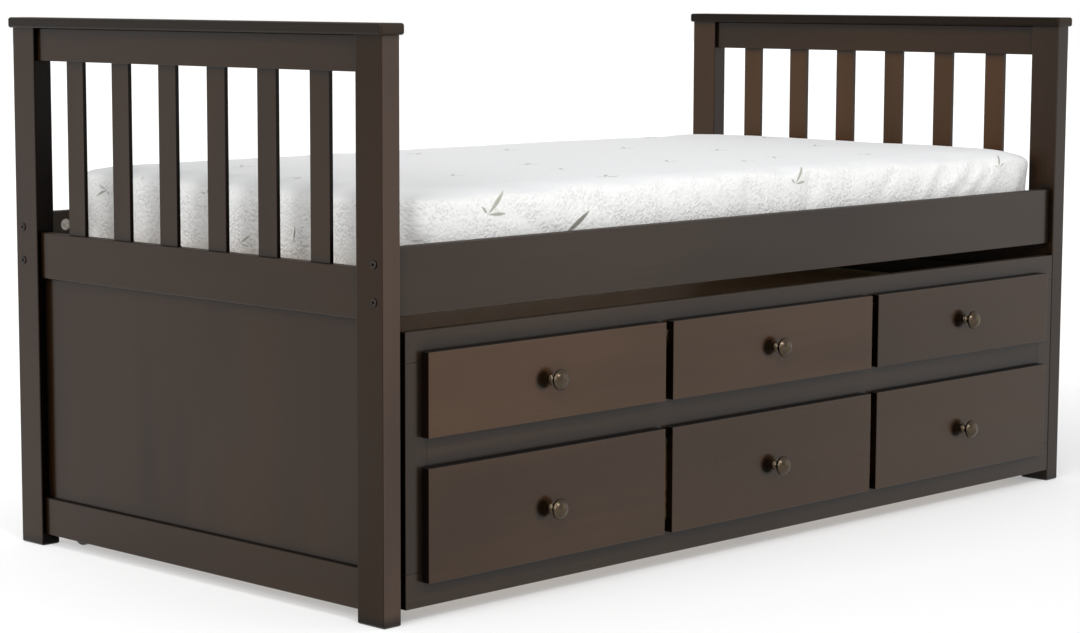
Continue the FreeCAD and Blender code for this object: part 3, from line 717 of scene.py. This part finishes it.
def settle(piece, loose):
    """Lets the cover find its wrinkles: slack cloth blown out a little, held near where it lay."""
    lay = [vertex.co.copy() for vertex in piece.data.vertices]
    held = piece.vertex_groups.new(name="held")
    lowest = min(place.z for place in lay)
    for index, place in enumerate(lay):
        held.add([index], 1.0 if place.z < lowest + SEAM_HEIGHT else HELD_LOOSELY, "REPLACE")
    cloth = piece.modifiers.new("Cloth", "CLOTH").settings
    cloth.quality = 6
    cloth.mass = 0.3
    cloth.effector_weights.gravity = 0
    cloth.use_pressure, cloth.uniform_pressure_force = True, 0.35
    cloth.tension_stiffness = cloth.compression_stiffness = 12.0
    cloth.shear_stiffness, cloth.bending_stiffness = 6.0, 0.08
    cloth.vertex_group_mass, cloth.pin_stiffness = "held", 0.6
    cloth.shrink_min = -loose
    scene = bpy.context.scene
    for step in range(1, SETTLE_FRAMES + 1):
        scene.frame_set(step)
    worn = piece.evaluated_get(bpy.context.evaluated_depsgraph_get())
    moved = [vertex.co.copy() for vertex in worn.data.vertices]
    piece.modifiers.clear()
    piece.vertex_groups.clear()
    scene.frame_set(1)
    for vertex, start, end in zip(piece.data.vertices, lay, moved):
        away = end - start
        if away.length > 0:
            away *= MOST_MOVE * math.tanh(away.length / MOST_MOVE) / away.length
        vertex.co = start + away


def sprig_places(low, high):
    """Each sprig's foot, its two directions in the cover, and the rest of its row."""
    x_way, y_way, z_way = Vector((1, 0, 0)), Vector((0, 1, 0)), Vector((0, 0, 1))
    places = []
    for side, across, height, *rest in SPRIGS:
        if side == "front":
            places.append((Vector((across, low.y, height)), x_way, z_way, *rest))
        else:
            places.append((Vector((low.x, across, height)), -y_way, z_way, *rest))
    for x, y, turn, flip in TOP_SPRIGS:
        places.append((Vector((x, y, high.z)), x_way, y_way, turn, TOP_SIZE, 1, flip))
    return places


def mark_sprigs(data, low, high):
    """Gives each face corner its place in the nearest sprig's own frame, in metres."""
    marks = data.attributes.new("sprig", "FLOAT_VECTOR", "CORNER")
    values = [NO_LEAF] * len(data.loops)
    places = sprig_places(low, high)
    for face in data.polygons:
        centre, normal = face.center, face.normal
        near = [place for place in places
                if (centre - place[0]).length < LEAF_REACH
                and normal.dot(place[1].cross(place[2])) > 0.5]
        if not near:
            continue
        nearest = min(near, key=lambda place: (centre - place[0]).length_squared)
        at, right, up, turn, size, several, flip = nearest
        c, s = math.cos(math.radians(turn)) / size, math.sin(math.radians(turn)) / size
        for loop in face.loop_indices:
            away = data.vertices[data.loops[loop].vertex_index].co - at
            a, b = away.dot(right), away.dot(up)
            values[loop] = (a * c + b * s, (b * c - a * s) * flip, several)
    marks.data.foreach_set("vector", [number for value in values for number in value])


def refined(cover, low, high):
    """The cover's mesh, subdivided once, with its folds and its sprig marks."""
    smooth = cover.modifiers.new("Subdivision", "SUBSURF")
    smooth.levels = smooth.render_levels = 1
    worn = cover.evaluated_get(bpy.context.evaluated_depsgraph_get())
    data = bpy.data.meshes.new_from_object(worn)
    cover.modifiers.clear()
    folds = [vertex.normal * crease(vertex.co, vertex.normal) for vertex in data.vertices]
    for vertex, fold in zip(data.vertices, folds):
        vertex.co += fold
    mark_sprigs(data, low, high)
    return data


def make_mattress(node, body, material, loose, radius, main):
    """A padded cover in place of a plain solid. The main one is finer, with folds and leaves."""
    low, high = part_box(node)
    inner_low, inner_high = low + COVER_INSET, high - COVER_INSET
    mesh = box_grid(inner_low, inner_high, CELL)
    for vertex in mesh.verts:
        place, out = rounded(vertex.co.copy(), inner_low, inner_high, radius)
        vertex.co = foam_shape(place, out, low, high)
    for face in mesh.faces:
        face.smooth = True
    data = bpy.data.meshes.new(node + "_cover")
    mesh.to_mesh(data)
    mesh.free()
    cover = bpy.data.objects.new(node + "_cover", data)
    bpy.context.scene.collection.objects.link(cover)
    settle(cover, loose)
    for vertex in data.vertices:
        vertex.co.z = max(vertex.co.z, low.z)
    if main:
        cover.data = refined(cover, low, high)
    cover.data.materials.append(material)
    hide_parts(node)
    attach(cover, body)


# ---------------------------------------------------------------------- studio
def make_floor():
    data = bpy.data.meshes.new("floor")
    h = FLOOR_HALF
    data.from_pydata([(-h, -h, 0), (h, -h, 0), (h, h, 0), (-h, h, 0)], [], [(0, 1, 2, 3)])
    floor = bpy.data.objects.new("floor", data)
    bpy.context.scene.collection.objects.link(floor)
    data.materials.append(floor_paint())


def place_light(lamp, way, place):
    box = bpy.data.objects.new(lamp.name, lamp)
    box.location = place
    box.rotation_euler = way.to_track_quat("Z", "Y").to_euler()
    bpy.context.scene.collection.objects.link(box)


def light_studio():
    """A white surround that dims overhead, a softbox in front and a fill on each side."""
    world = bpy.data.worlds.new("studio")
    bpy.context.scene.world = world
    world.use_nodes = True
    tree = world.node_tree
    height = split(tree, add(tree, "TexCoord").outputs["Generated"])["Z"]
    background = tree.nodes["Background"]
    background.inputs["Color"].default_value = WHITE
    tree.links.new(mapped(tree, height, *SKY_RISE, SKY_LOW, SKY_HIGH), background.inputs["Strength"])
    middle = (CAD_BOUNDS[0] + CAD_BOUNDS[1]) / 2
    key = bpy.data.lights.new("key", "AREA")
    key.shape, key.size, key.energy = "DISK", KEY_WIDE, KEY_POWER
    place_light(key, KEY_WAY, middle + KEY_WAY.normalized() * KEY_FAR)
    for index, (way, wide, strength) in enumerate(FILLS):
        fill = bpy.data.lights.new(f"fill_{index}", "SUN")
        fill.angle, fill.energy = math.radians(wide), strength
        place_light(fill, way, middle + way)
    bpy.context.scene.view_settings.view_transform = "Standard"


def place_camera():
    forward = CAMERA_FORWARD.normalized()
    level = forward.cross(Vector((0, 0, 1))).normalized()
    straight = level.cross(forward)
    right = level * math.cos(CAMERA_ROLL) + straight * math.sin(CAMERA_ROLL)
    up = straight * math.cos(CAMERA_ROLL) - level * math.sin(CAMERA_ROLL)
    turn = Matrix((right, up, -forward)).transposed().to_4x4()
    lens = bpy.data.cameras.new("camera")
    lens.lens, lens.sensor_width = CAMERA_LENS, CAMERA_SENSOR
    camera = bpy.data.objects.new("camera", lens)
    camera.matrix_world = Matrix.Translation(CAMERA_AT) @ turn
    bpy.context.scene.collection.objects.link(camera)
    bpy.context.scene.camera = camera


place_camera()
make_floor()
light_studio()
paint_nodes()
make_mattress("mattress", "bed_frame", knit_cover(), 0.015, 0.017, True)
make_mattress("trundle_mattress", "trundle", tan_cover(), 0.012, 0.020, False)
